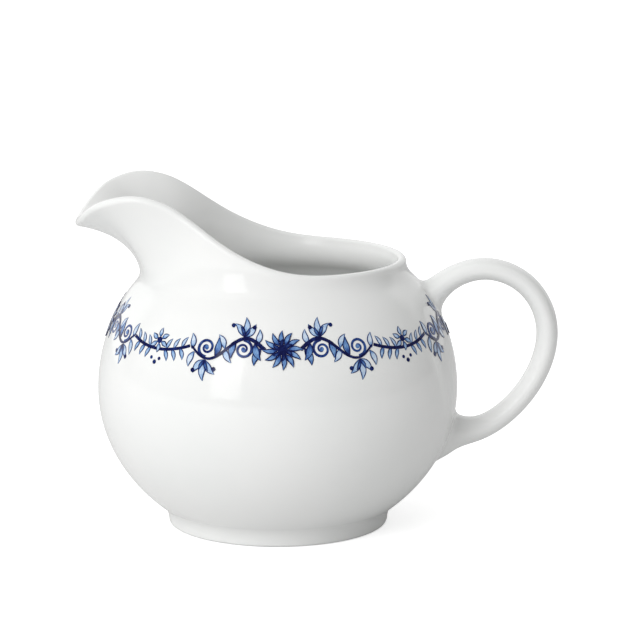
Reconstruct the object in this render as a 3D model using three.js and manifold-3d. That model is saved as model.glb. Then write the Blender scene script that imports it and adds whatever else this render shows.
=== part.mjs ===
// A small porcelain cream jug: a slip-cast round bowl with a broad pouring lip, a loop handle that
// is cast by itself and stuck on with slip, and a band of printed scrollwork on the shoulder.
// Millimetres, +Z up. The origin is on the table, under the middle of the jug's length. The lip
// points along -X and the handle along +X. An azimuth is measured from the handle, about the
// bowl's axis, so the lip is at 180 degrees.
import * as THREE from 'three';
import { ParametricGeometry } from 'three/addons/geometries/ParametricGeometry.js';
import { mergeVertices } from 'three/addons/utils/BufferGeometryUtils.js';
import Module from 'manifold-3d';

const wasm = await Module();
wasm.setup();

// ---------------------------------------------------------------------------------------------
// Driving dimensions

const BOWL_AXIS_X = -10.35; // the handle reaches further from the bowl's axis than the lip does
const BELLY_RADIUS = 46.75;
const BELLY_LEVEL = 36; // height of the widest ring
const BELLY_DROP = 41; // the belly is an ellipse: its half-height below the widest ring
const BELLY_RISE = 45; // and above it
const SHOULDER_TOP = 60; // where the shoulder turns into the neck
const NECK_RADIUS = 34.9; // the hollow of the neck, below the rim
const NECK_LEVEL = 65;
const SHOULDER_RUN = 4.5; // how far the shoulder runs on straight into the neck
const WALL = 3;
const RIM_WALL = 2.2;
const FLOOR_LEVEL = 6.2; // inside bottom of the bowl

const FOOT_HEIGHT = 4;
const FOOT_RADIUS = 28.6; // outside of the foot ring at the table
const FOOT_RING = 2.9; // width of the foot ring
const FOOT_ROUND = 0.9; // rounding of its edges
const UNDERSIDE_LEVEL = 3.3; // the bottom inside the foot ring is raised off the table

// The rim: azimuth, radius, height, lean of the wall there off the vertical, and how far below the
// rim that lean begins to show. The rim is level round the back, climbs to a wing on each side of
// the lip and drops again to the lip's blunt tip.
const RIM = [
  [0, 33.2, 70.2, 0, 2.2],
  [60, 33.3, 70.2, 0, 2.2],
  [85, 33.2, 71.2, 0, 3.0],
  [105, 33.3, 75.0, 2, 5.0],
  [120, 34.0, 79.8, 9, 7.5],
  [132, 35.9, 84.8, 18, 10.0],
  [140, 39.3, 88.2, 27, 11.5],
  [147, 44.0, 89.4, 36, 12.5],
  [154, 48.2, 88.0, 48, 13.5],
  [163, 50.4, 85.0, 65, 16.0],
  [172, 51.7, 81.6, 77, 17.5],
  [180, 52.0, 80.4, 81, 18.0],
];

// The handle's centre line, as distance from the bowl's axis and height.
const HANDLE_LINE = [
  [36.6, 56.0],
  [44.2, 63.6],
  [54.0, 66.6],
  [64.3, 62.5],
  [69.7, 53.0],
  [68.9, 42.6],
  [62.3, 31.4],
  [53.0, 24.6],
  [47.0, 23.6],
  [39.8, 23.4],
];
const HANDLE_THICKNESS = 5.6; // measured in the plane of the loop
const HANDLE_WIDTH = 8.2; // measured across the loop
const UPPER_FLARE = 1.5; // how much each side swells at the bowl
const LOWER_FLARE = 3.8;
const FLARE_FADE = 3.7; // the swelling dies away over about this distance
const SIDE_FLARE = 0.45; // the swelling across the loop, as a share of that in its plane
const BURIED = 4.5; // the line starts and ends about this far inside the bowl's surface

const SEAM = 0.3; // clearance left between pieces that touch
const SLIP_THICKNESS = 1.2; // dried slip between the bowl and an end of the handle
const PRINT_THICKNESS = 0.25; // a printed transfer, thickened to a solid
const PRINT_RISE = [1.32, 2.2]; // bottom and top of a cartouche, as wallPoint measures height
const GARLAND_RISE = [1.5, 2.06]; // bottom and top of a garland in its middle
const REPEAT = 90; // the scrollwork repeats every quarter turn
const CARTOUCHE_HALF = 32.5; // half the azimuth that a cartouche covers
const CARTOUCHE_TAPER = [0.42, 0.12]; // how much its lower and upper edges close in at its sides
const TAPER_STARTS = [22, 24]; // azimuths from its middle where they begin to
const GARLAND_HALF = 11; // half the azimuth that a garland covers
const GARLAND_TAPER = 0.06; // how much each of its edges closes in at its sides
const HANDLE_NOTCH = 13; // half the azimuth left free for the handle's upper end
const NOTCH_SIDE = 3; // the azimuth over which the notch's sides climb
const NOTCH_RISE = 1.68; // the print under the handle stops here

// ---------------------------------------------------------------------------------------------
// Closed skins and solids

const UP = new THREE.Vector3(0, 0, 1);
const radians = THREE.MathUtils.degToRad;

function middle(ring) {
  const centre = new THREE.Vector3();
  ring.forEach((point) => centre.add(point));
  return centre.divideScalar(ring.length);
}

// Leaves only positions, shares the vertices that coincide and drops triangles with no area.
function weld(geometry) {
  geometry.deleteAttribute('normal');
  geometry.deleteAttribute('uv');
  const merged = mergeVertices(geometry, 1e-5);
  const kept = [];
  const index = merged.index.array;
  for (let corner = 0; corner < index.length; corner += 3) {
    const [a, b, c] = index.slice(corner, corner + 3);
    if (a !== b && b !== c && c !== a) kept.push(a, b, c);
  }
  merged.setIndex(kept);
  return merged;
}

// A skin stretched over rings of points, closed by a fan to the middle of the first and last ring.
// The rings run anticlockwise seen from the last ring.
function skin(rings) {
  const around = rings[0].length;
  const first = Array(around).fill(middle(rings[0]));
  const last = Array(around).fill(middle(rings[rings.length - 1]));
  const stations = [first, ...rings, last];
  const bands = stations.length - 1;
  const place = (u, v, target) => {
    target.copy(stations[Math.round(v * bands)][Math.round(u * around) % around]);
  };
  return weld(new ParametricGeometry(place, around, bands));
}

function toSolid(geometry) {
  const vertProperties = new Float32Array(geometry.attributes.position.array);
  const triVerts = new Uint32Array(geometry.index.array);
  return new wasm.Manifold(new wasm.Mesh({ numProp: 3, vertProperties, triVerts }));
}

function toGeometry(solid) {
  const mesh = solid.getMesh();
  const geometry = new THREE.BufferGeometry();
  geometry.setAttribute('position', new THREE.BufferAttribute(mesh.vertProperties, 3));
  geometry.setIndex(new THREE.BufferAttribute(mesh.triVerts, 1));
  return geometry;
}

// ---------------------------------------------------------------------------------------------
// The bowl's outer wall

const rimShape = new THREE.CubicInterpolant(
  RIM.map((row) => row[0]),
  RIM.flatMap((row) => row.slice(1)),
  4,
);
rimShape.settings = { endingStart: THREE.ZeroSlopeEnding, endingEnd: THREE.ZeroSlopeEnding };

const LOWER_ANGLE = Math.asin((BELLY_LEVEL - FOOT_HEIGHT) / BELLY_DROP);
const UPPER_ANGLE = Math.asin((SHOULDER_TOP - BELLY_LEVEL) / BELLY_RISE);

function ellipsePoint(angle, halfHeight) {
  return new THREE.Vector2(BELLY_RADIUS * Math.cos(angle), BELLY_LEVEL + halfHeight * Math.sin(angle));
}

// The neck at an azimuth in degrees: a Bezier that leaves the shoulder along its own slope, bends
// in the hollow of the neck and ends at the rim with the rim's own lean.
function neckControls(azimuth) {
  const turn = THREE.MathUtils.euclideanModulo(azimuth, 360);
  const [radius, height, lean, reach] = rimShape.evaluate(Math.min(turn, 360 - turn));
  const half = RIM_WALL / 2;
  const along = new THREE.Vector2(Math.sin(radians(lean)), Math.cos(radians(lean)));
  const outward = new THREE.Vector2(along.y, -along.x);
  const end = new THREE.Vector2(radius - half, height - half).addScaledVector(outward, half);
  const shoulder = ellipsePoint(UPPER_ANGLE, BELLY_RISE);
  const slope = new THREE.Vector2(
    -BELLY_RADIUS * Math.sin(UPPER_ANGLE),
    BELLY_RISE * Math.cos(UPPER_ANGLE),
  ).normalize();
  const leaving = shoulder.clone().addScaledVector(slope, SHOULDER_RUN);
  const hollow = new THREE.Vector2(NECK_RADIUS, NECK_LEVEL);
  const arriving = end.clone().addScaledVector(along, -reach);
  return [shoulder, leaving, hollow, hollow, arriving, end];
}

function bezier(controls, t) {
  if (controls.length === 1) return controls[0];
  const shorter = controls.slice(1).map((point, i) => controls[i].clone().lerp(point, t));
  return bezier(shorter, t);
}

// A point of the outer wall in the bowl's own frame, whose axis is Z. rise runs from 0 at the foot
// to 1 at the widest ring, 2 at the top of the shoulder and 3 at the rim.
function wallPoint(azimuth, rise) {
  let outline;
  if (rise <= 1) outline = ellipsePoint((rise - 1) * LOWER_ANGLE, BELLY_DROP);
  else if (rise <= 2) outline = ellipsePoint((rise - 1) * UPPER_ANGLE, BELLY_RISE);
  else outline = bezier(neckControls(azimuth), Math.min(rise - 2, 1));
  return new THREE.Vector3(outline.x, 0, outline.y).applyAxisAngle(UP, radians(azimuth));
}

function wallSlope(azimuth, rise) {
  const step = 0.002;
  const from = Math.min(rise, 3 - step);
  return wallPoint(azimuth, from + step).sub(wallPoint(azimuth, from - step)).normalize();
}

function wallNormal(azimuth, rise) {
  const around = wallPoint(azimuth + 0.1, rise).sub(wallPoint(azimuth - 0.1, rise));
  return around.cross(wallSlope(azimuth, rise)).normalize();
}

function offWall(azimuth, rise, distance) {
  return wallPoint(azimuth, rise).addScaledVector(wallNormal(azimuth, rise), distance);
}

function wallThickness(rise) {
  return rise <= 2 ? WALL : THREE.MathUtils.lerp(WALL, RIM_WALL, rise - 2);
}

// ---------------------------------------------------------------------------------------------
// Body: bowl, neck, lip and foot ring, one casting

const BODY_SLICES = 64;
const LIP_CROWDING = 0.38; // the slices crowd towards the lip, where the shape changes fastest
const BELLY_STEPS = 6;
const NECK_STEPS = 9;
const LIP_STEPS = 4; // steps over the rounded edge of the rim
const LOWEST_INSIDE = 0.16; // rise where the inner wall turns into the inside bottom

function bodyAzimuths() {
  const azimuths = [];
  for (let slice = 0; slice < BODY_SLICES; slice += 1) {
    const even = (slice / BODY_SLICES) * 2 * Math.PI;
    azimuths.push(THREE.MathUtils.radToDeg(even + LIP_CROWDING * Math.sin(even)));
  }
  return azimuths;
}

function turnedRings(azimuths, outline) {
  return outline.map((point) => azimuths.map((azimuth) => {
    const spot = new THREE.Vector3(point.x, 0, point.y);
    return spot.applyAxisAngle(UP, radians(azimuth));
  }));
}

function steps(from, to, count) {
  return Array.from({ length: count + 1 }, (_, i) => THREE.MathUtils.lerp(from, to, i / count));
}

// The foot ring from the raised underside outwards and up to the bowl.
function footOutline() {
  const inner = FOOT_RADIUS - FOOT_RING;
  const path = new THREE.Path();
  path.moveTo(inner / 2, UNDERSIDE_LEVEL + 0.1);
  path.lineTo(inner - 1.6, UNDERSIDE_LEVEL);
  path.quadraticCurveTo(inner - 0.2, UNDERSIDE_LEVEL, inner, FOOT_ROUND);
  path.quadraticCurveTo(inner, 0, inner + FOOT_ROUND, 0);
  path.lineTo(FOOT_RADIUS - FOOT_ROUND, 0);
  path.quadraticCurveTo(FOOT_RADIUS, 0, FOOT_RADIUS, FOOT_ROUND);
  path.lineTo(FOOT_RADIUS + 0.2, FOOT_HEIGHT / 2);
  path.quadraticCurveTo(FOOT_RADIUS + 0.4, FOOT_HEIGHT - 0.5, wallPoint(0, 0).x, FOOT_HEIGHT);
  return path.getPoints(3);
}

function bodyRings() {
  const azimuths = bodyAzimuths();
  const rises = [
    ...steps(0, 1, BELLY_STEPS).slice(1),
    ...steps(1, 2, BELLY_STEPS).slice(1),
    ...steps(2, 3, NECK_STEPS).slice(1),
  ];
  const outside = rises.map((rise) => azimuths.map((azimuth) => wallPoint(azimuth, rise)));
  const edge = steps(0, Math.PI, LIP_STEPS).slice(1, -1).map((angle) => azimuths.map((azimuth) => {
    const centre = offWall(azimuth, 3, -RIM_WALL / 2);
    centre.addScaledVector(wallNormal(azimuth, 3), (Math.cos(angle) * RIM_WALL) / 2);
    return centre.addScaledVector(wallSlope(azimuth, 3), (Math.sin(angle) * RIM_WALL) / 2);
  }));
  const inwards = rises.filter((rise) => rise > LOWEST_INSIDE).reverse();
  const inside = inwards.map((rise) => azimuths.map(
    (azimuth) => offWall(azimuth, rise, -wallThickness(rise)),
  ));
  const corner = offWall(0, LOWEST_INSIDE, -WALL);
  const floor = new THREE.QuadraticBezierCurve(
    new THREE.Vector2(corner.x, corner.z),
    new THREE.Vector2(corner.x - 3.4, FLOOR_LEVEL + 0.1),
    new THREE.Vector2(corner.x - 8, FLOOR_LEVEL),
  ).getPoints(3);
  return [
    ...turnedRings(azimuths, footOutline()),
    ...outside,
    ...edge,
    ...inside,
    ...turnedRings(azimuths, floor),
  ];
}

// ---------------------------------------------------------------------------------------------
// Handle and the slip that holds it

const HANDLE_STATIONS = 44;
const HANDLE_SIDES = 18;
const ENVELOPE_SLICES = 96;
const ENVELOPE_STEPS = 12;

// The whole loop, with both ends run on into the bowl's wall.
function handleLoop() {
  const line = new THREE.CatmullRomCurve3(HANDLE_LINE.map(([x, z]) => new THREE.Vector3(x, 0, z)));
  const length = line.getLength();
  const rings = steps(0, 1, HANDLE_STATIONS).map((t) => {
    const centre = line.getPointAt(t);
    const tangent = line.getTangentAt(t);
    const outward = new THREE.Vector3(-tangent.z, 0, tangent.x);
    const upper = UPPER_FLARE * Math.exp((BURIED - t * length) / FLARE_FADE);
    const lower = LOWER_FLARE * Math.exp((BURIED - (1 - t) * length) / FLARE_FADE);
    const swell = Math.min(upper, UPPER_FLARE) + Math.min(lower, LOWER_FLARE);
    const halfThick = HANDLE_THICKNESS / 2 + swell;
    const halfWide = HANDLE_WIDTH / 2 + SIDE_FLARE * swell;
    return steps(0, 2 * Math.PI, HANDLE_SIDES).slice(1).map((angle) => {
      const spot = centre.clone().addScaledVector(outward, halfThick * Math.cos(angle));
      return spot.add(new THREE.Vector3(0, -halfWide * Math.sin(angle), 0));
    });
  });
  return toSolid(skin(rings));
}

// The space inside the bowl's outer wall, grown by a distance; true round the back of the jug.
function bowlEnvelope(growth) {
  const rises = steps(0, 3, 3 * ENVELOPE_STEPS);
  const outline = rises.map((rise) => {
    const spot = offWall(0, rise, growth);
    return new THREE.Vector2(spot.x, spot.z);
  });
  outline.unshift(new THREE.Vector2(0, 0));
  outline.push(new THREE.Vector2(0, outline[outline.length - 1].y));
  return toSolid(weld(new THREE.LatheGeometry(outline, ENVELOPE_SLICES).rotateX(Math.PI / 2)));
}

// A block over the upper or lower half of the height, to part one end of the loop from the other.
function heightBlock(low, high) {
  const block = new THREE.BoxGeometry(100, 60, high - low).translate(50, 0, (low + high) / 2);
  return toSolid(weld(block));
}

const loop = handleLoop();
const slipOuter = bowlEnvelope(SEAM + SLIP_THICKNESS);
const slip = loop.intersect(slipOuter).subtract(bowlEnvelope(SEAM));

// ---------------------------------------------------------------------------------------------
// Printed transfers: thin patches that follow the shoulder

const PATCH_ROWS = 4;
const CARTOUCHE_COLUMNS = 22;
const GARLAND_COLUMNS = 6;

// A patch over an azimuth range. lowEdge and highEdge give its bottom and top rise from the
// azimuth measured from its middle.
function patch(middleAzimuth, halfSpan, columns, lowEdge, highEdge) {
  const rings = steps(-halfSpan, halfSpan, columns).map((across) => {
    const azimuth = middleAzimuth + across;
    const column = steps(lowEdge(across), highEdge(across), PATCH_ROWS);
    const inner = column.map((rise) => offWall(azimuth, rise, SEAM));
    const outer = column.map((rise) => offWall(azimuth, rise, SEAM + PRINT_THICKNESS)).reverse();
    return [...inner, ...outer];
  });
  return skin(rings);
}

const { smoothstep } = THREE.MathUtils;

// A cartouche hangs lowest at its volutes and rises to a point at each wing.
function cartouche(middleAzimuth, notched) {
  const [bottom, top] = PRINT_RISE;
  const [lowTaper, highTaper] = CARTOUCHE_TAPER;
  const [lowStart, highStart] = TAPER_STARTS;
  const lowEdge = (across) => bottom + lowTaper * smoothstep(Math.abs(across), lowStart, CARTOUCHE_HALF);
  const highEdge = (across) => {
    const wing = top - highTaper * smoothstep(Math.abs(across), highStart, CARTOUCHE_HALF);
    if (!notched) return wing;
    const clear = smoothstep(Math.abs(across), HANDLE_NOTCH, HANDLE_NOTCH + NOTCH_SIDE);
    return THREE.MathUtils.lerp(NOTCH_RISE, wing, clear);
  };
  return patch(middleAzimuth, CARTOUCHE_HALF, CARTOUCHE_COLUMNS, lowEdge, highEdge);
}

function garland(middleAzimuth) {
  const [bottom, top] = GARLAND_RISE;
  const taper = (across) => GARLAND_TAPER * (across / GARLAND_HALF) ** 2;
  const lowEdge = (across) => bottom + taper(across);
  const highEdge = (across) => top - taper(across);
  return patch(middleAzimuth, GARLAND_HALF, GARLAND_COLUMNS, lowEdge, highEdge);
}

// ---------------------------------------------------------------------------------------------
// Assembly

function porcelain() {
  return new THREE.MeshStandardMaterial({ color: 0xf3f4f2, roughness: 0.12, metalness: 0 });
}

function slipFinish() {
  return new THREE.MeshStandardMaterial({ color: 0xeff0ec, roughness: 0.16, metalness: 0 });
}

function printBlue() {
  return new THREE.MeshStandardMaterial({ color: 0x24478c, roughness: 0.2, metalness: 0 });
}

const jug = new THREE.Group();
jug.position.x = BOWL_AXIS_X;

function add(name, geometry, material) {
  const mesh = new THREE.Mesh(geometry, material);
  mesh.name = name;
  jug.add(mesh);
}

add('body', skin(bodyRings()), porcelain());
add('handle', toGeometry(loop.subtract(bowlEnvelope(2 * SEAM + SLIP_THICKNESS))), porcelain());
add('upper_slip_joint', toGeometry(slip.intersect(heightBlock(BELLY_LEVEL, 90))), slipFinish());
add('lower_slip_joint', toGeometry(slip.intersect(heightBlock(0, BELLY_LEVEL))), slipFinish());

['handle', 'back', 'lip', 'front'].forEach((side, quarter) => {
  add(`cartouche_${side}`, cartouche(quarter * REPEAT, side === 'handle'), printBlue());
});
['back_right', 'back_left', 'front_left', 'front_right'].forEach((side, quarter) => {
  add(`garland_${side}`, garland((quarter + 0.5) * REPEAT), printBlue());
});

export default jug;
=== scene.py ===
# Porcelain cream jug: a slip-cast bowl with a broad raised lip, a loop handle stuck on with slip,
# and a band of blue printed vines on the shoulder, all under one clear glaze.
import bpy
import numpy as np
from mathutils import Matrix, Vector


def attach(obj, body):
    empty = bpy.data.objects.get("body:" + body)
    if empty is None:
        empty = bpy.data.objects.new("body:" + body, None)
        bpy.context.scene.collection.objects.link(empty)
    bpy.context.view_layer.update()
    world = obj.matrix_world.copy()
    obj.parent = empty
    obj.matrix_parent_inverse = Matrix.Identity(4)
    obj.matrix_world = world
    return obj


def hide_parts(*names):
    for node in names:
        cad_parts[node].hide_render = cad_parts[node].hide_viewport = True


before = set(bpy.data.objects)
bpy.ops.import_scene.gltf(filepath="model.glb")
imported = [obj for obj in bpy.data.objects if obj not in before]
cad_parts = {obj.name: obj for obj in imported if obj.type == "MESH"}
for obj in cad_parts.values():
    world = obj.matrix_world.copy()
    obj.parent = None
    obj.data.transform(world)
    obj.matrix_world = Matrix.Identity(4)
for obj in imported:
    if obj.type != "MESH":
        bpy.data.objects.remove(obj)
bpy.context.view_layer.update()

MM = 0.001


# ---------------------------------------------------------------------------------------------
# Camera. A long lens at the height of a person sitting at the table, looking square at the jug's
# side, a little down into the mouth.

LENS_DISTANCE = 0.7395
LENS_HEIGHT = 0.1972
SIGHT_POINT = Vector((-0.00223, 0, 0.0561))
BOWL_AXIS = -0.01035

camera = bpy.data.objects.new("camera", bpy.data.cameras.new("camera"))
camera.data.lens = 169
camera.data.sensor_width = 36
camera.location = (BOWL_AXIS, -LENS_DISTANCE, LENS_HEIGHT)
camera.rotation_euler = (SIGHT_POINT - camera.location).to_track_quat("-Z", "Y").to_euler()
bpy.context.scene.collection.objects.link(camera)
bpy.context.scene.camera = camera


# ---------------------------------------------------------------------------------------------
# Bowl. Porcelain slip cast in a plaster mould: belly, neck, lip and foot ring are one hollow
# wall, trimmed and sponged at the rim. The foot ring's resting face is wiped clean of glaze
# before firing and ground afterwards, so it shows the matt body.

BELLY_RADIUS = 46.75
BELLY_LEVEL = 36
BELLY_DROP = 41
BELLY_RISE = 45
SHOULDER_TOP = 60
NECK = (34.9, 65)
SHOULDER_RUN = 4.5
WALL = 3
RIM_WALL = 2.2
GATHER = 1.35
NECK_PLACE = 0.62
FLOOR_LEVEL = 6.2
FOOT_HEIGHT = 4
FOOT_RADIUS = 28.6
FOOT_RING = 2.9
FOOT_ROUND = 0.9
UNDERSIDE_LEVEL = 3.3

# azimuth from the handle, radius, height, lean off the vertical, how far below the rim it shows
RIM = np.array([
    (0, 33.2, 70.2, 0, 2.2),
    (60, 33.3, 70.2, 0, 2.2),
    (85, 33.2, 71.2, 0, 3.0),
    (105, 33.3, 75.0, 2, 5.0),
    (120, 34.0, 79.8, 9, 7.5),
    (132, 35.9, 84.8, 18, 10.0),
    (140, 39.3, 88.2, 27, 11.5),
    (147, 44.0, 89.4, 36, 12.5),
    (154, 48.2, 88.0, 48, 13.5),
    (163, 50.4, 85.0, 65, 16.0),
    (172, 51.7, 81.6, 77, 17.5),
    (180, 52.0, 80.4, 81, 18.0),
])


def curve_through(knots, values, places, level_ends=True):
    """A smooth curve through values at knots, read off at places. Its ends are level or free."""
    gap = np.diff(knots)
    climb = np.diff(values, axis=0) / gap[:, None]
    system = np.zeros((len(knots), len(knots)))
    bend = np.zeros_like(values)
    system[0, :2] = 2 * gap[0], gap[0]
    system[-1, -2:] = gap[-1], 2 * gap[-1]
    bend[0] = 6 * climb[0]
    bend[-1] = -6 * climb[-1]
    if not level_ends:
        system[0, :2] = 1, 0
        system[-1, -2:] = 0, 1
        bend[0] = bend[-1] = 0
    for i in range(1, len(knots) - 1):
        system[i, i - 1:i + 2] = gap[i - 1], 2 * (gap[i - 1] + gap[i]), gap[i]
        bend[i] = 6 * (climb[i] - climb[i - 1])
    bend = np.linalg.solve(system, bend)
    i = np.clip(np.searchsorted(knots, places, side="right") - 1, 0, len(knots) - 2)
    right = ((places - knots[i]) / gap[i])[..., None]
    left = 1 - right
    curve = left * values[i] + right * values[i + 1]
    sag = (left**3 - left) * bend[i] + (right**3 - right) * bend[i + 1]
    return curve + sag * (gap[i] ** 2)[..., None] / 6


def shoulder_angle(height):
    return np.arcsin((height - BELLY_LEVEL) / BELLY_RISE)


TOP_ANGLE = shoulder_angle(SHOULDER_TOP)
FOOT_ANGLE = np.arcsin((FOOT_HEIGHT - BELLY_LEVEL) / BELLY_DROP)


def belly(angle):
    """Radius and height on the belly's ellipse, which is a little fuller above its widest ring."""
    middle = (BELLY_RISE + BELLY_DROP) / 2
    half = middle + (BELLY_RISE - BELLY_DROP) / 2 * np.tanh(angle / 0.22)
    return BELLY_RADIUS * np.cos(angle), BELLY_LEVEL + half * np.sin(angle)


def wall(azimuth, rise):
    """Points of the outer wall. rise is 0 at the foot, 1 at the widest ring, 2 at the top of the
    shoulder and 3 at the rim; azimuth and rise are arrays of one shape."""
    turn = np.mod(azimuth, 360)
    turn = np.minimum(turn, 360 - turn)
    rim = curve_through(RIM[:, 0], RIM[:, 1:], turn)
    radius, height, lean, reach = np.moveaxis(rim, -1, 0)
    lean = np.radians(lean)
    half = RIM_WALL / 2
    end_r = radius - half + half * np.cos(lean)
    end_z = height - half - half * np.sin(lean)
    top_r, top_z = belly(TOP_ANGLE)
    slope = np.array((-BELLY_RADIUS * np.sin(TOP_ANGLE), BELLY_RISE * np.cos(TOP_ANGLE)))
    slope = slope / np.linalg.norm(slope) * SHOULDER_RUN
    level = np.ones_like(turn)
    controls = [
        (top_r * level, top_z * level),
        ((top_r + slope[0]) * level, (top_z + slope[1]) * level),
        (NECK[0] * level, NECK[1] * level),
        (NECK[0] * level, NECK[1] * level),
        (end_r - reach * np.sin(lean), end_z - reach * np.cos(lean)),
        (end_r, end_z),
    ]
    t = np.clip(rise - 2, 0, 1)
    neck_r = sum(w * c[0] for w, c in zip(bernstein(t), controls))
    neck_z = sum(w * c[1] for w, c in zip(bernstein(t), controls))
    angle = np.where(rise < 1, (1 - rise) * FOOT_ANGLE, (rise - 1) * TOP_ANGLE)
    belly_r, belly_z = belly(angle)
    r = np.where(rise > 2, neck_r, belly_r)
    z = np.where(rise > 2, neck_z, belly_z)
    around = np.radians(azimuth)
    # the slight unevenness that sponging and firing leave in a cast wall
    r = r + 0.035 * np.sin(2 * around + 0.6) * np.sin(z / 11) + 0.02 * np.sin(5 * around + z / 7)
    return np.stack((r * np.cos(around), r * np.sin(around), z), axis=-1)


def bernstein(t):
    return [c * t**i * (1 - t) ** (5 - i) for i, c in enumerate((1, 5, 10, 10, 5, 1))]


def unit(vectors):
    return vectors / np.linalg.norm(vectors, axis=-1, keepdims=True)


def wall_up(azimuth, rise):
    low = np.minimum(rise, 2.999) - 0.001
    return unit(wall(azimuth, low + 0.002) - wall(azimuth, low))


def wall_out(azimuth, rise):
    around = wall(azimuth + 0.05, rise) - wall(azimuth - 0.05, rise)
    return unit(np.cross(around, wall_up(azimuth, rise)))


def off_wall(azimuth, rise, distance):
    return wall(azimuth, rise) + distance * wall_out(azimuth, rise)


def to_mesh(name, points, faces):
    """A smooth mesh object from points in the bowl's frame, in millimetres."""
    mesh = bpy.data.meshes.new(name)
    places = np.asarray(points, float) * MM + (BOWL_AXIS, 0, 0)
    mesh.from_pydata(places.tolist(), [], faces)
    mesh.polygons.foreach_set("use_smooth", [True] * len(mesh.polygons))
    mesh.update()
    piece = bpy.data.objects.new(name, mesh)
    bpy.context.scene.collection.objects.link(piece)
    return piece


def ring_faces(rings, around, first=0):
    """Quads between rings of points that close on themselves."""
    i = np.arange(around)
    j = (i + 1) % around
    faces = []
    for ring in range(rings - 1):
        a = first + ring * around
        faces.append(np.stack((a + i, a + j, a + around + j, a + around + i), axis=1))
    return np.concatenate(faces).tolist()


def quadratic(start, corner, end, count):
    t = np.linspace(0, 1, count)[:, None]
    return (1 - t) ** 2 * np.array(start) + 2 * t * (1 - t) * np.array(corner) + t**2 * np.array(end)


SLICES = 288
slice_turn = np.arange(SLICES) / SLICES * 2 * np.pi
slices = np.degrees(slice_turn + 0.3 * np.sin(slice_turn))


def turned(outline):
    """Rings swept from an outline of radius and height."""
    around = np.radians(slices)
    r = outline[:, 0][:, None]
    z = outline[:, 1][:, None] * np.ones_like(around)
    return np.stack((r * np.cos(around), r * np.sin(around), z), axis=-1)


def wall_rings(rises, distance):
    azimuth, rise = np.meshgrid(slices, rises)
    return off_wall(azimuth, rise, distance)


ring_inside = FOOT_RADIUS - FOOT_RING
COVE_RISE = 0.055
cove_top = wall(np.array(0.0), np.array(COVE_RISE))
underside = np.concatenate((
    np.stack((np.linspace(1, ring_inside - 2, 12), np.full(12, UNDERSIDE_LEVEL)), axis=1),
    quadratic((ring_inside - 1.7, UNDERSIDE_LEVEL), (ring_inside - 0.2, UNDERSIDE_LEVEL),
              (ring_inside - 0.05, FOOT_ROUND + 0.2), 8),
    quadratic((ring_inside, FOOT_ROUND), (ring_inside, 0), (ring_inside + FOOT_ROUND, 0), 7),
))
resting_face = np.stack((np.linspace(ring_inside + 1.05, FOOT_RADIUS - 1.05, 4), np.zeros(4)), axis=1)
foot_side = np.concatenate((
    quadratic((FOOT_RADIUS - FOOT_ROUND, 0), (FOOT_RADIUS, 0), (FOOT_RADIUS + 0.05, FOOT_ROUND), 7),
    quadratic((FOOT_RADIUS + 0.12, 1.5), (FOOT_RADIUS + 0.5, 4.1),
              (cove_top[0] * 0.999, cove_top[2]), 14)[:-1],
))
outer_rises = np.concatenate((
    np.linspace(COVE_RISE, 1, 46), np.linspace(1, 2, 34)[1:], np.linspace(2, 3, 48)[1:],
))
# the wall thins to the rim, and is fullest where casting slip gathers inside the neck
to_rim = np.clip(outer_rises - 2, 0, 1)
below_rim = np.minimum((1 - to_rim) / (1 - NECK_PLACE), 1)
above_shoulder = np.minimum(to_rim / NECK_PLACE, 1)
gathered = below_rim * (2 - below_rim) * above_shoulder**2 * (3 - 2 * above_shoulder)
from_lip = np.clip((125 - np.minimum(slices, 360 - slices)) / 35, 0, 1)
thickness = (WALL + (RIM_WALL - WALL) * to_rim)[:, None] + GATHER * gathered[:, None] * from_lip
edge_azimuth = slices[None, :]
edge_rise = np.full((1, SLICES), 3.0)
edge_angle = np.linspace(0, np.pi, 13)[1:-1][:, None, None]
edge = (
    off_wall(edge_azimuth, edge_rise, -RIM_WALL / 2)
    + RIM_WALL / 2 * np.cos(edge_angle) * wall_out(edge_azimuth, edge_rise)
    + RIM_WALL / 2 * np.sin(edge_angle) * wall_up(edge_azimuth, edge_rise)
)
LOWEST_INSIDE = 0.16
inner = outer_rises >= LOWEST_INSIDE
inner_rings = wall_rings(outer_rises[inner], -thickness[inner][..., None])[::-1][::2]
corner = inner_rings[-1][0]
corner = (np.hypot(corner[0], corner[1]), corner[2])
inside_bottom = quadratic(corner, (corner[0] - 3.4, FLOOR_LEVEL + 0.1),
                          (corner[0] - 8, FLOOR_LEVEL), 12)[1:]
inside_middle = np.stack((np.linspace(corner[0] - 9.5, 1, 10), np.full(10, FLOOR_LEVEL)), axis=1)

bowl_rings = np.concatenate((
    turned(underside), turned(resting_face), turned(foot_side), wall_rings(outer_rises, 0),
    edge, inner_rings, turned(inside_bottom), turned(inside_middle),
))
bowl_points = bowl_rings.reshape(-1, 3)
bowl_faces = ring_faces(len(bowl_rings), SLICES)
last_ring = (len(bowl_rings) - 1) * SLICES
bowl_points = np.concatenate((bowl_points, [(0, 0, UNDERSIDE_LEVEL), (0, 0, FLOOR_LEVEL)]))
bottom_pole = len(bowl_points) - 2
for i in range(SLICES):
    j = (i + 1) % SLICES
    bowl_faces.append((bottom_pole, j, i))
    bowl_faces.append((bottom_pole + 1, last_ring + i, last_ring + j))
bowl = to_mesh("bowl", bowl_points, bowl_faces)


def group_socket(group, name, kind, direction="INPUT", value=None):
    socket = group.interface.new_socket(name=name, in_out=direction, socket_type=kind)
    if value is not None:
        socket.default_value = value
    return socket


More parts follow.
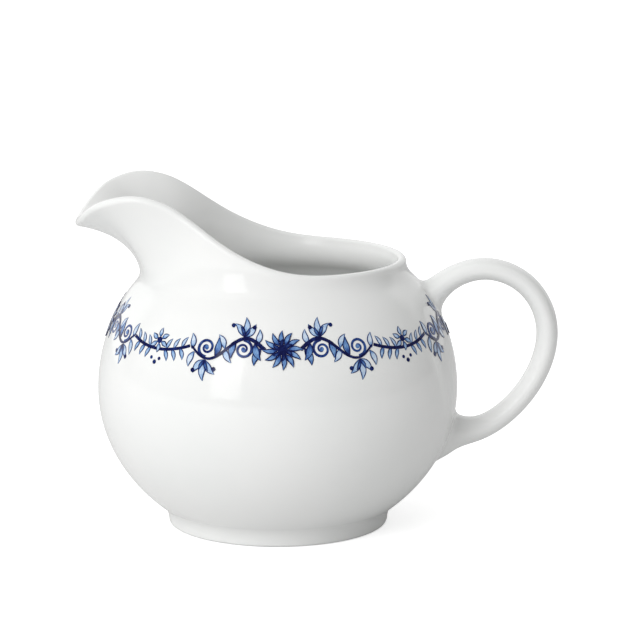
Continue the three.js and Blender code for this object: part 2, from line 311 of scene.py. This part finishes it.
def node(tree, kind, x=0, y=0, **inputs):
    """A node with named or numbered inputs set, or linked where the value is a socket."""
    made = tree.nodes.new(kind)
    made.location = (x, y)
    for key, value in inputs.items():
        socket = made.inputs[int(key[1:]) if key[0] == "_" else key.replace("_", " ")]
        if isinstance(value, bpy.types.NodeSocket):
            tree.links.new(value, socket)
        else:
            socket.default_value = value
    return made


def make_glaze_group():
    """Clear glaze over white porcelain: where it has run and pooled it is faintly greener, and its skin
    rolls very slightly."""
    group = bpy.data.node_groups.new("glaze_skin", "ShaderNodeTree")
    group_socket(group, "Body Color", "NodeSocketColor", value=(0.86, 0.865, 0.855, 1))
    group_socket(group, "Pooled Color", "NodeSocketColor", value=(0.77, 0.80, 0.785, 1))
    group_socket(group, "Roll", "NodeSocketFloat", value=0.05)
    group_socket(group, "Color", "NodeSocketColor", "OUTPUT")
    group_socket(group, "Roughness", "NodeSocketFloat", "OUTPUT")
    group_socket(group, "Normal", "NodeSocketVector", "OUTPUT")
    enter = group.nodes.new("NodeGroupInput")
    leave = group.nodes.new("NodeGroupOutput")
    place = node(group, "ShaderNodeTexCoord").outputs["Object"]
    drift = node(group, "ShaderNodeTexNoise", Vector=place, Scale=38, Detail=3, Roughness=0.5)
    pooled = node(group, "ShaderNodeMapRange", Value=drift.outputs["Fac"])
    pooled.inputs["From Min"].default_value = 0.45
    pooled.inputs["From Max"].default_value = 0.8
    pooled.inputs["To Max"].default_value = 0.35
    tint = node(group, "ShaderNodeMix")
    tint.data_type = "RGBA"
    group.links.new(pooled.outputs["Result"], tint.inputs[0])
    group.links.new(enter.outputs["Body Color"], tint.inputs[6])
    group.links.new(enter.outputs["Pooled Color"], tint.inputs[7])
    fine = node(group, "ShaderNodeTexNoise", Vector=place, Scale=900, Detail=2, Roughness=0.6)
    sheen = node(group, "ShaderNodeMapRange", Value=fine.outputs["Fac"])
    sheen.inputs["To Min"].default_value = 0.06
    sheen.inputs["To Max"].default_value = 0.13
    swell = node(group, "ShaderNodeTexNoise", Vector=place, Scale=70, Detail=2, Roughness=0.45)
    roll = node(group, "ShaderNodeBump", Height=swell.outputs["Fac"], Strength=1.0)
    roll.inputs["Distance"].default_value = 0.0004
    group.links.new(enter.outputs["Roll"], roll.inputs["Strength"])
    group.links.new(tint.outputs[2], leave.inputs["Color"])
    group.links.new(sheen.outputs["Result"], leave.inputs["Roughness"])
    group.links.new(roll.outputs["Normal"], leave.inputs["Normal"])
    return group


glaze_skin = make_glaze_group()


def make_porcelain():
    material = bpy.data.materials.new("glazed_porcelain")
    material.use_nodes = True
    tree = material.node_tree
    shader = tree.nodes["Principled BSDF"]
    skin = tree.nodes.new("ShaderNodeGroup")
    skin.node_tree = glaze_skin
    tree.links.new(skin.outputs["Color"], shader.inputs["Base Color"])
    tree.links.new(skin.outputs["Roughness"], shader.inputs["Roughness"])
    tree.links.new(skin.outputs["Normal"], shader.inputs["Normal"])
    shader.inputs["IOR"].default_value = 1.5
    return material


def make_bare_porcelain():
    material = bpy.data.materials.new("bare_ground_porcelain")
    material.use_nodes = True
    tree = material.node_tree
    shader = tree.nodes["Principled BSDF"]
    place = node(tree, "ShaderNodeTexCoord").outputs["Object"]
    grit = node(tree, "ShaderNodeTexNoise", Vector=place, Scale=2600, Detail=4, Roughness=0.7)
    colour = node(tree, "ShaderNodeMix")
    colour.data_type = "RGBA"
    colour.inputs[6].default_value = (0.74, 0.73, 0.69, 1)
    colour.inputs[7].default_value = (0.60, 0.58, 0.54, 1)
    tree.links.new(grit.outputs["Fac"], colour.inputs[0])
    tree.links.new(colour.outputs[2], shader.inputs["Base Color"])
    bump = node(tree, "ShaderNodeBump", Height=grit.outputs["Fac"], Strength=0.4)
    bump.inputs["Distance"].default_value = 0.0002
    tree.links.new(bump.outputs["Normal"], shader.inputs["Normal"])
    shader.inputs["Roughness"].default_value = 0.62
    return material


porcelain = make_porcelain()
bare_porcelain = make_bare_porcelain()
bowl.data.materials.append(porcelain)
bowl.data.materials.append(bare_porcelain)
bare_from = (len(underside) - 1) * SLICES
bare_to = (len(underside) + len(resting_face)) * SLICES
slots = np.zeros(len(bowl.data.polygons), int)
slots[bare_from:bare_to] = 1
bowl.data.polygons.foreach_set("material_index", slots)
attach(bowl, "root")
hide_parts("body")


# ---------------------------------------------------------------------------------------------
# Handle and its two slip joints. The loop is cast solid by itself, its ends are cut to the
# bowl's curve, and it is stuck on with slip; the slip that squeezes out is drawn round into a
# small fillet with a damp brush. The glaze then runs over all of it.

HANDLE_LINE = np.array([
    (36.6, 56.0), (44.2, 63.6), (54.0, 66.6), (64.3, 62.5), (69.7, 53.0), (68.9, 42.6),
    (62.3, 31.4), (53.0, 24.6), (47.0, 23.6), (39.8, 23.4),
])
HANDLE_THICKNESS = 5.6
HANDLE_WIDTH = 8.2
UPPER_FLARE = 1.3
LOWER_FLARE = 3.5
FLARE_FADE = 3.7
BURIED = 4.5
HANDLE_SIDES = 72
HANDLE_STATIONS = 230

leg = np.linalg.norm(np.diff(HANDLE_LINE, axis=0), axis=1) ** 0.75
handle_knots = np.concatenate(([0], np.cumsum(leg)))
fine_places = np.linspace(0, handle_knots[-1], 1200)
fine_line = curve_through(handle_knots, HANDLE_LINE, fine_places, level_ends=False)
fine_run = np.concatenate(([0], np.cumsum(np.linalg.norm(np.diff(fine_line, axis=0), axis=1))))
handle_run = fine_run[-1]
section_angle = np.arange(HANDLE_SIDES) / HANDLE_SIDES * 2 * np.pi


def handle_skin(run, angle):
    """Points on the handle's skin at a distance along its line and an angle about it."""
    def on_line(places):
        return np.stack([np.interp(places, fine_run, fine_line[:, k]) for k in (0, 1)], axis=-1)
    centre = on_line(run)
    along = unit(on_line(np.minimum(run + 0.4, handle_run)) - on_line(np.maximum(run - 0.4, 0)))
    outward = np.stack((-along[..., 1], along[..., 0]), axis=-1)
    upper = UPPER_FLARE * np.minimum(np.exp((BURIED - run) / FLARE_FADE), 1.15)
    lower = LOWER_FLARE * np.minimum(np.exp((BURIED - handle_run + run) / FLARE_FADE), 1.15)
    thick = (HANDLE_THICKNESS / 2 + upper + lower) * np.cos(angle)
    wide = (HANDLE_WIDTH / 2 + 0.45 * (upper + lower)) * np.sin(angle)
    return np.stack((centre[..., 0] + thick * outward[..., 0], -wide,
                     centre[..., 1] + thick * outward[..., 1]), axis=-1)


back_rises = np.linspace(0.1, 2.95, 500)
back = wall(np.zeros(500), back_rises)[:, [0, 2]]
back_run = np.concatenate(([0], np.cumsum(np.linalg.norm(np.diff(back, axis=0), axis=1))))


def to_wall(points):
    """How far points stand off the bowl, and the azimuth and rise of the spots nearest to them."""
    flat = np.stack((np.hypot(points[..., 0], points[..., 1]), points[..., 2]), axis=-1)
    near = np.argmin(np.linalg.norm(flat[..., None, :] - back, axis=-1), axis=-1)
    near = np.clip(near, 1, len(back) - 2)
    ahead = back[near + 1] - back[near - 1]
    past = np.sum((flat - back[near]) * ahead, axis=-1) / np.sum(ahead**2, axis=-1)
    rise = back_rises[near] + past * (back_rises[near + 1] - back_rises[near - 1])
    azimuth = np.degrees(np.arctan2(points[..., 1], points[..., 0]))
    off = np.sum((points - wall(azimuth, rise)) * wall_out(azimuth, rise), axis=-1)
    return off, azimuth, rise


def evened(values, waves=3):
    """Values around a closed ring with only their slow waves kept, so that the ring runs smooth."""
    parts = np.fft.rfft(values)
    parts[waves + 1:] = 0
    return np.fft.irfft(parts, len(values))


def handle_end(clearance, from_top):
    """For each angle, the distance along the line where the skin is that far off the bowl."""
    runs = np.linspace(0, 16, 200) if from_top else np.linspace(handle_run, handle_run - 16, 200)
    off = to_wall(handle_skin(runs[:, None], section_angle[None, :]))[0]
    return evened(np.array([np.interp(clearance, off[:, k], runs) for k in range(HANDLE_SIDES)]))


def capped(rings):
    """Points and faces of a run of rings, with each end closed by a fan of its own."""
    count = rings.shape[1]
    points = [rings.reshape(-1, 3), rings[0], rings[-1], rings[0].mean(0)[None], rings[-1].mean(0)[None]]
    faces = ring_faces(len(rings), count)
    first = len(rings) * count
    pole = first + 2 * count
    for i in range(count):
        j = (i + 1) % count
        faces.append((pole, first + j, first + i))
        faces.append((pole + 1, first + count + i, first + count + j))
    return np.concatenate(points), faces


def fillet_rings(runs, from_top, foot):
    """Rings from an end of the handle down to the bowl, leaving it and landing flush, and the
    bowl's normals where they land. foot is the joint's lowest and highest height and half width."""
    low, high, half_width = foot
    step = -0.05 if from_top else 0.05
    start = handle_skin(runs, section_angle)
    heading = unit(handle_skin(runs + step, section_angle) - start)
    bottom, top = np.interp((low, high), back[:, 1], back_run)
    swing = half_width * np.sin(section_angle)
    climb = (top - bottom) / 2 * np.cos(section_angle) * (1 if from_top else -1)

    def on_bowl(scale):
        rise = np.interp((bottom + top) / 2 + scale * climb, back_run, back_rises)
        return np.degrees(-scale * swing / BELLY_RADIUS), rise

    landing = off_wall(*on_bowl(1.0), -0.008)
    approach = off_wall(*on_bowl(0.7), 0)
    departure = start + 0.45 * heading * np.linalg.norm(landing - start, axis=1)[:, None]
    t = np.linspace(0, 1, 21)[:, None, None]
    s = 1 - t
    rings = s**3 * start + 3 * s**2 * t * departure + 3 * s * t**2 * approach + t**3 * landing
    return rings, wall_out(*on_bowl(1.0))


# where each end is cut, and the foot its joint stands on
ends = {
    "upper": (handle_end(2.5, True), True, (52.6, 65.0, 7.0)),
    "lower": (handle_end(3.0, False), False, (13.4, 31.8, 8.0)),
}
share = np.linspace(0, 1, HANDLE_STATIONS)[:, None]
handle_runs = ends["upper"][0] + (ends["lower"][0] - ends["upper"][0]) * share
handle_points, handle_faces = capped(handle_skin(handle_runs, section_angle[None, :]))
handle_loop = to_mesh("handle_loop", handle_points, handle_faces)
handle_loop.data.materials.append(porcelain)
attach(handle_loop, "root")
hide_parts("handle")

handle_normals = np.array([corner.normal for corner in handle_loop.data.vertices])
for end, (runs, from_top, foot) in ends.items():
    rings, landing_normals = fillet_rings(runs, from_top, foot)
    ring = 0 if from_top else HANDLE_STATIONS - 1
    start_normals = handle_normals[ring * HANDLE_SIDES:(ring + 1) * HANDLE_SIDES]
    if from_top:
        rings = rings[::-1]
    joint_points, joint_faces = capped(rings)
    joint = to_mesh(f"{end}_joint", joint_points, joint_faces)
    normals = np.array([corner.normal for corner in joint.data.vertices])
    first = slice(0, HANDLE_SIDES)
    last = slice((len(rings) - 1) * HANDLE_SIDES, len(rings) * HANDLE_SIDES)
    normals[last if from_top else first] = start_normals
    normals[first if from_top else last] = landing_normals
    joint.data.normals_split_custom_set_from_vertices(normals.tolist())
    joint.data.materials.append(porcelain)
    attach(joint, "root")
    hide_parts(f"{end}_slip_joint")


# ---------------------------------------------------------------------------------------------
# Blue print. Cobalt ink laid on the raw shoulder from cut tissue transfers, four panels of
# running vine and four leafy garlands between them, then glazed over. The panel under the
# handle is cut away round the handle's root.

PRINT_BASE = 44
PRINT_TURN = 1.6
MM_PER_TURN = 43 * 2 * np.pi
STEP = 0.33
LINE_WIDTH = 0.21
INK_LIFT = 0.03
LAYER = 0.003
ROOT_MARGIN = 0.7

up_rises = np.linspace(1, 2.6, 400)
up_wall = wall(np.zeros(400), up_rises)
up_run = np.concatenate(([0], np.cumsum(np.linalg.norm(np.diff(up_wall, axis=0), axis=1))))
up_run -= np.interp(PRINT_BASE, up_wall[:, 2], up_run)
root_low, root_high = np.interp(ends["upper"][2][:2], up_wall[:, 2], up_run)
root_middle = (root_low + root_high) / 2
root_half = np.array((ends["upper"][2][2], (root_high - root_low) / 2)) + ROOT_MARGIN


def brush(rows, line=None, streak=0.0):
    """One stroke of ink. Each row along it gives across and up in mm, width, and strength of ink;
    line is the ink of its drawn edges, streak how far the ink varies in lengthwise streaks."""
    rows = np.array(rows, float)
    leg = np.linalg.norm(np.diff(rows[:, :2], axis=0), axis=1)
    knots = np.concatenate(([0], np.cumsum(leg**0.7)))
    places = np.linspace(0, knots[-1], max(7, int(leg.sum() / STEP)))
    smooth = curve_through(knots, rows, places, level_ends=False)
    spine, half = smooth[:, :2], np.maximum(smooth[:, 2], 0.05)[:, None] / 2
    along = unit(np.gradient(spine, axis=0))
    side = np.stack((-along[:, 1], along[:, 0]), axis=-1)
    edge = np.minimum(LINE_WIDTH, half * 0.45)
    level = np.ones_like(half)
    if line is None:
        across = half * np.linspace(-1, 1, 5)
        ink = smooth[:, 3:] * np.ones(5)
    else:
        within = np.linspace(-1, 1, 9) * (half - 1.5 * edge)
        across = np.hstack((-half, edge - half, within, half - edge, half))
        ink = smooth[:, 3:] + streak * np.sin(np.linspace(0, 17, 9) + 0.2 * places[:, None])
        ink = np.hstack((line * level, line * level, ink, line * level, line * level))
    points = spine[:, None, :] + across[..., None] * side[:, None, :]
    return points, np.clip(ink, 0, 1)


def drop(x, y, radius, ink):
    """A round spot of ink."""
    turn = np.linspace(0.12, np.pi - 0.12, 11)
    rows = [(x - radius * np.cos(a), y, 2 * radius * np.sin(a), ink) for a in turn]
    return brush(rows)


def spiral(x, y, outer, inner, start, turns, width, ink):
    """A stroke curling inwards; start in degrees, turns counted counter-clockwise."""
    t = np.linspace(0, 1, int(abs(turns) * 9) + 3)
    radius = outer + (inner - outer) * t
    turn = np.radians(start) + turns * 2 * np.pi * t
    thick = width * (1 - 0.45 * t)
    rows = np.stack((x + radius * np.cos(turn), y + radius * np.sin(turn), thick, ink + 0 * t), axis=-1)
    return brush(rows)


def other_half(strokes):
    """The mirror image of strokes across the upright middle line."""
    return [(points[:, ::-1] * (-1, 1), ink[:, ::-1]) for points, ink in strokes]


def leaf(x, y, heading, length, width, ink=0.2, line=0.9):
    """A pointed leaf growing from a spot, its heading in degrees, a little bent to one side."""
    turn = np.radians(heading)
    along = np.array((np.cos(turn), np.sin(turn)))
    side = np.array((-along[1], along[0]))
    rows = []
    for share, wide, bend, darker in (
        (0, 0.15, 0, 0.5),
        (0.35, 0.9, 0.08, 0.05),
        (0.7, 0.7, 0.08, 0),
        (1, 0.05, 0, 0.2),
    ):
        spot = np.array((x, y)) + length * (share * along + bend * side)
        rows.append((spot[0], spot[1], wide * width, ink + darker))
    return brush(rows, line=line, streak=0.12)


def blossom(x, y, petals, radius, width, ink):
    """A round flower of equal petals about a solid eye."""
    strokes = []
    for k in range(petals):
        heading = 90 + 360 * k / petals
        turn = np.radians(heading)
        root = (x + 0.25 * radius * np.cos(turn), y + 0.25 * radius * np.sin(turn))
        strokes.append(leaf(*root, heading, 0.75 * radius, width, ink, line=0.97))
    return strokes + [drop(x, y, 0.26 * radius, 0.95)]


# The panel is a plain running vine either side of a daisy: a wave, a curl inside each bend and
# leaves fanned outside it. The garland is a shallow swag of the same leaves.
VINE_LEVEL = 10.5
VINE_START = 5
VINE_RUN = 19
VINE_SWING = 2.8
SWAG_DROP = 1.9
SWAG_RUN = 9.8


def vine(x):
    return VINE_LEVEL + VINE_SWING * np.sin((x - VINE_START) / VINE_RUN * 2 * np.pi)


def swag(x):
    return VINE_LEVEL - SWAG_DROP * (1 - (x / SWAG_RUN) ** 2)


PANEL_HALF = []
for bend, up in ((0.25, 1), (0.75, -1)):
    x = VINE_START + bend * VINE_RUN
    for heading, length in ((90, 5.2), (50, 4.4), (130, 4.4)):
        PANEL_HALF.append(leaf(x, vine(x) + 0.4 * up, heading * up, length, 2.0, 0.22))
    for heading in (65, 115):
        PANEL_HALF.append(leaf(x, vine(x) + 0.4 * up, heading * up, 3.0, 1.1, 0.7, line=1.0))
    PANEL_HALF.append(spiral(x, VINE_LEVEL, 2.4, 0.4, 90 * up, 1.6, 0.75, 0.8))
    PANEL_HALF.append(drop(x, VINE_LEVEL, 0.55, 0.6))
for share, heading in ((0.08, 100), (0.5, 60), (0.5, -120), (0.92, -75), (0.96, 80)):
    x = VINE_START + share * VINE_RUN
    PANEL_HALF.append(leaf(x, vine(x), heading, 4.0, 1.8, 0.12))
for share, heading in ((0.02, -70), (0.1, -110), (0.36, -80), (0.62, 95)):
    x = VINE_START + share * VINE_RUN
    PANEL_HALF.append(leaf(x, vine(x), heading, 4.6, 2.0, 0.5, line=1.0))
PANEL_HALF.append(brush([
    (VINE_START + VINE_RUN * share - 0.6, vine(VINE_START + VINE_RUN * share), 1.0 - 0.5 * share, 0.97)
    for share in np.linspace(0, 1, 14)
]))
for share, level in ((0.12, 16.2), (0.42, 16.6), (0.62, 5.2), (0.9, 4.6)):
    PANEL_HALF.append(drop(VINE_START + share * VINE_RUN, level, 0.55, 0.9))
PANEL_MIDDLE = blossom(0, VINE_LEVEL, 12, 5.0, 1.5, 0.45) + blossom(0, VINE_LEVEL, 6, 2.8, 1.1, 0.8)

GARLAND_HALF = []
for x in (2.9, 5.2, 7.5):
    GARLAND_HALF.append(leaf(x, swag(x), 65, 3.2, 1.3, 0.15))
    GARLAND_HALF.append(leaf(x - 0.6, swag(x - 0.6), -65, 3.2, 1.4, 0.3))
GARLAND_HALF.append(brush([
    (SWAG_RUN * share, swag(SWAG_RUN * share), 0.8, 0.97) for share in np.linspace(0.02, 1, 8)
]))
GARLAND_HALF.append(drop(1.3, 6.2, 0.45, 0.9))
GARLAND_MIDDLE = blossom(0, swag(0) + 2.2, 6, 3.2, 1.5, 0.25) + [drop(0, 5.2, 0.55, 0.9)]


def printed(name, middle, strokes, cad_piece, notched=False):
    """One transfer: every stroke becomes a thin closed ribbon of ink lying on the wall, each a
    hair above the one before it."""
    ribbons = []
    for layer, (flat, ink) in enumerate(strokes):
        count = len(flat)
        clear = np.ones(count, bool)
        if notched:
            from_root = np.linalg.norm((flat - (0, root_middle)) / root_half, axis=-1)
            clear = np.all(from_root > 1, axis=1)
        starts = np.flatnonzero(clear & ~np.concatenate(([False], clear[:-1])))
        stops = np.flatnonzero(clear & ~np.concatenate((clear[1:], [False]))) + 1
        for start, stop in zip(starts, stops):
            if stop - start > max(2, 0.4 * count):
                ribbons.append((flat[start:stop], ink[start:stop], INK_LIFT + LAYER * layer))
    points, faces, inks, normals = [], [], [], []
    first = 0
    for flat, ink, lift in ribbons:
        rows, wide = ink.shape
        # the underside is two edge points, so that each cross-section closes on itself
        section = np.concatenate((flat, flat[:, -1:], flat[:, :1]), axis=1)
        height = np.concatenate((np.full(wide, lift), (-0.06, -0.06)))
        azimuth = middle + PRINT_TURN + section[..., 0] / MM_PER_TURN * 360
        rise = np.interp(section[..., 1], up_run, up_rises)
        out = wall_out(azimuth, rise)
        points.append((wall(azimuth, rise) + height[None, :, None] * out).reshape(-1, 3))
        inks.append(np.concatenate((ink, ink[:, -1:], ink[:, :1]), axis=1).ravel())
        normals.append(out.reshape(-1, 3))
        faces += [face[::-1] for face in ring_faces(rows, wide + 2, first)]
        faces.append(tuple(range(first, first + wide + 2)))
        end = first + (rows - 1) * (wide + 2)
        faces.append(tuple(range(end + wide + 1, end - 1, -1)))
        first += rows * (wide + 2)
    piece = to_mesh(name, np.concatenate(points), faces)
    # the glaze is level over the ink, so a ribbon shades as the wall under it does
    piece.data.normals_split_custom_set_from_vertices(np.concatenate(normals).tolist())
    strength = piece.data.attributes.new("ink", "FLOAT", "POINT")
    strength.data.foreach_set("value", np.concatenate(inks))
    piece.data.materials.append(cobalt_print)
    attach(piece, "root")
    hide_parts(cad_piece)
    return piece


def make_print():
    material = bpy.data.materials.new("cobalt_print")
    material.use_nodes = True
    tree = material.node_tree
    shader = tree.nodes["Principled BSDF"]
    strength = tree.nodes.new("ShaderNodeAttribute")
    strength.attribute_name = "ink"
    place = node(tree, "ShaderNodeTexCoord").outputs["Object"]
    mottle = node(tree, "ShaderNodeTexNoise", Vector=place, Scale=1500, Detail=3, Roughness=0.6)
    cloud = node(tree, "ShaderNodeTexNoise", Vector=place, Scale=420, Detail=2, Roughness=0.5)
    both = node(tree, "ShaderNodeMath", _0=mottle.outputs["Fac"], _1=cloud.outputs["Fac"])
    spread = node(tree, "ShaderNodeMapRange", Value=both.outputs["Value"])
    spread.inputs["From Min"].default_value = 0.7
    spread.inputs["From Max"].default_value = 1.3
    spread.inputs["To Min"].default_value = -0.13
    spread.inputs["To Max"].default_value = 0.13
    total = node(tree, "ShaderNodeMath", _0=strength.outputs["Fac"], _1=spread.outputs["Result"])
    ramp = tree.nodes.new("ShaderNodeValToRGB")
    tree.links.new(total.outputs["Value"], ramp.inputs["Fac"])
    stops = ramp.color_ramp.elements
    stops[0].position = 0.0
    stops[0].color = (0.74, 0.79, 0.84, 1)
    stops[1].position = 1.0
    stops[1].color = (0.003, 0.005, 0.055, 1)
    for position, color in (
        (0.15, (0.50, 0.63, 0.80, 1)),
        (0.4, (0.19, 0.35, 0.62, 1)),
        (0.65, (0.04, 0.11, 0.34, 1)),
        (0.85, (0.010, 0.022, 0.13, 1)),
    ):
        stops.new(position).color = color
    skin = tree.nodes.new("ShaderNodeGroup")
    skin.node_tree = glaze_skin
    tree.links.new(ramp.outputs["Color"], skin.inputs["Body Color"])
    tree.links.new(ramp.outputs["Color"], skin.inputs["Pooled Color"])
    tree.links.new(skin.outputs["Color"], shader.inputs["Base Color"])
    tree.links.new(skin.outputs["Roughness"], shader.inputs["Roughness"])
    tree.links.new(skin.outputs["Normal"], shader.inputs["Normal"])
    shader.inputs["IOR"].default_value = 1.5
    return material


cobalt_print = make_print()
panel = PANEL_HALF + other_half(PANEL_HALF) + PANEL_MIDDLE
garland = GARLAND_HALF + other_half(GARLAND_HALF) + GARLAND_MIDDLE
for middle, side in ((0, "handle"), (90, "back"), (180, "lip"), (270, "front")):
    printed(f"{side}_panel_print", middle, panel, f"cartouche_{side}", notched=side == "handle")
for middle, side in ((45, "back_right"), (135, "back_left"), (225, "front_left"), (315, "front_right")):
    printed(f"{side}_garland_print", middle, garland, f"garland_{side}")


# ---------------------------------------------------------------------------------------------
# Table, room and lamps. A white sweep lit to plain white, a big soft light from the left that
# leaves the right of the jug in shade, and a tall softbox that puts the gleams on the glaze.

def make_sweep():
    material = bpy.data.materials.new("white_sweep")
    material.use_nodes = True
    tree = material.node_tree
    shader = tree.nodes["Principled BSDF"]
    seen = node(tree, "ShaderNodeLightPath").outputs["Is Camera Ray"]
    grain = node(tree, "ShaderNodeTexNoise", Scale=240, Detail=3)
    paper = node(tree, "ShaderNodeMix")
    paper.data_type = "RGBA"
    paper.inputs[6].default_value = (0.78, 0.78, 0.78, 1)
    paper.inputs[7].default_value = (0.82, 0.82, 0.82, 1)
    tree.links.new(grain.outputs["Fac"], paper.inputs[0])
    tree.links.new(paper.outputs[2], shader.inputs["Base Color"])
    glow = node(tree, "ShaderNodeMath", _0=seen, _1=0.62)
    glow.operation = "MULTIPLY"
    shader.inputs["Emission Color"].default_value = (1, 1, 1, 1)
    tree.links.new(glow.outputs["Value"], shader.inputs["Emission Strength"])
    shader.inputs["Roughness"].default_value = 0.95
    shader.inputs["Specular IOR Level"].default_value = 0
    return material


table_mesh = bpy.data.meshes.new("table")
table_mesh.from_pydata([(-3, -3, 0), (3, -3, 0), (3, 3, 0), (-3, 3, 0)], [], [(0, 1, 2, 3)])
table = bpy.data.objects.new("table", table_mesh)
bpy.context.scene.collection.objects.link(table)
table_mesh.materials.append(make_sweep())


def make_room():
    """White where it is seen directly; as light on the jug it fades from left to right; in the
    glaze it is dim in front and bright behind."""
    world = bpy.data.worlds.new("studio_room")
    world.use_nodes = True
    tree = world.node_tree
    path = node(tree, "ShaderNodeLightPath")
    way = node(tree, "ShaderNodeTexCoord").outputs["Generated"]
    split = node(tree, "ShaderNodeSeparateXYZ", Vector=way)

    def ramp(source, low, high, at_low, at_high):
        made = node(tree, "ShaderNodeMapRange", Value=source)
        made.interpolation_type = "SMOOTHSTEP"
        limits = {"From Min": low, "From Max": high, "To Min": at_low, "To Max": at_high}
        for socket, value in limits.items():
            made.inputs[socket].default_value = value
        return made.outputs["Result"]

    falling = ramp(split.outputs["X"], -0.9, 0.9, 0.76, 0.36)
    behind = ramp(split.outputs["Y"], -0.1, 1.0, 0.0, 0.3)
    dull = node(tree, "ShaderNodeMath", _0=falling, _1=behind).outputs["Value"]
    mirrored = ramp(split.outputs["Y"], 0.4, 0.62, 0.12, 1.0)
    dull_or_mirror = node(tree, "ShaderNodeMix", _0=path.outputs["Is Glossy Ray"], _2=dull, _3=mirrored)
    seen = node(tree, "ShaderNodeMix", _0=path.outputs["Is Camera Ray"], _3=1.0)
    tree.links.new(dull_or_mirror.outputs[0], seen.inputs[2])
    tree.links.new(seen.outputs[0], tree.nodes["Background"].inputs["Strength"])
    tree.nodes["Background"].inputs["Color"].default_value = (1, 1, 1, 1)
    return world


bpy.context.scene.world = make_room()
bpy.context.scene.view_settings.view_transform = "Standard"


def soft_lamp(name, turn, climb, distance, width, height, glow, mirrored=True):
    """A rectangular softbox aimed at the jug: turn to the right of the camera and climb above the
    table in degrees, glow the brightness of its face."""
    lamp = bpy.data.objects.new(name, bpy.data.lights.new(name, "AREA"))
    lamp.data.shape = "RECTANGLE"
    lamp.data.size = width
    lamp.data.size_y = height
    lamp.data.energy = glow * np.pi * width * height
    around, up = np.radians((turn, climb))
    middle = Vector((BOWL_AXIS, 0, 0.045))
    offset = Vector((np.sin(around) * np.cos(up), -np.cos(around) * np.cos(up), np.sin(up)))
    lamp.location = middle + offset * distance
    lamp.rotation_euler = (-offset).to_track_quat("-Z", "Y").to_euler()
    lamp.visible_glossy = mirrored
    bpy.context.scene.collection.objects.link(lamp)


soft_lamp("key_light", -35, 36, 1.2, 0.8, 0.8, 3.05, mirrored=False)
soft_lamp("tall_softbox", -33, 19, 1.5, 0.5, 0.85, 1.9)
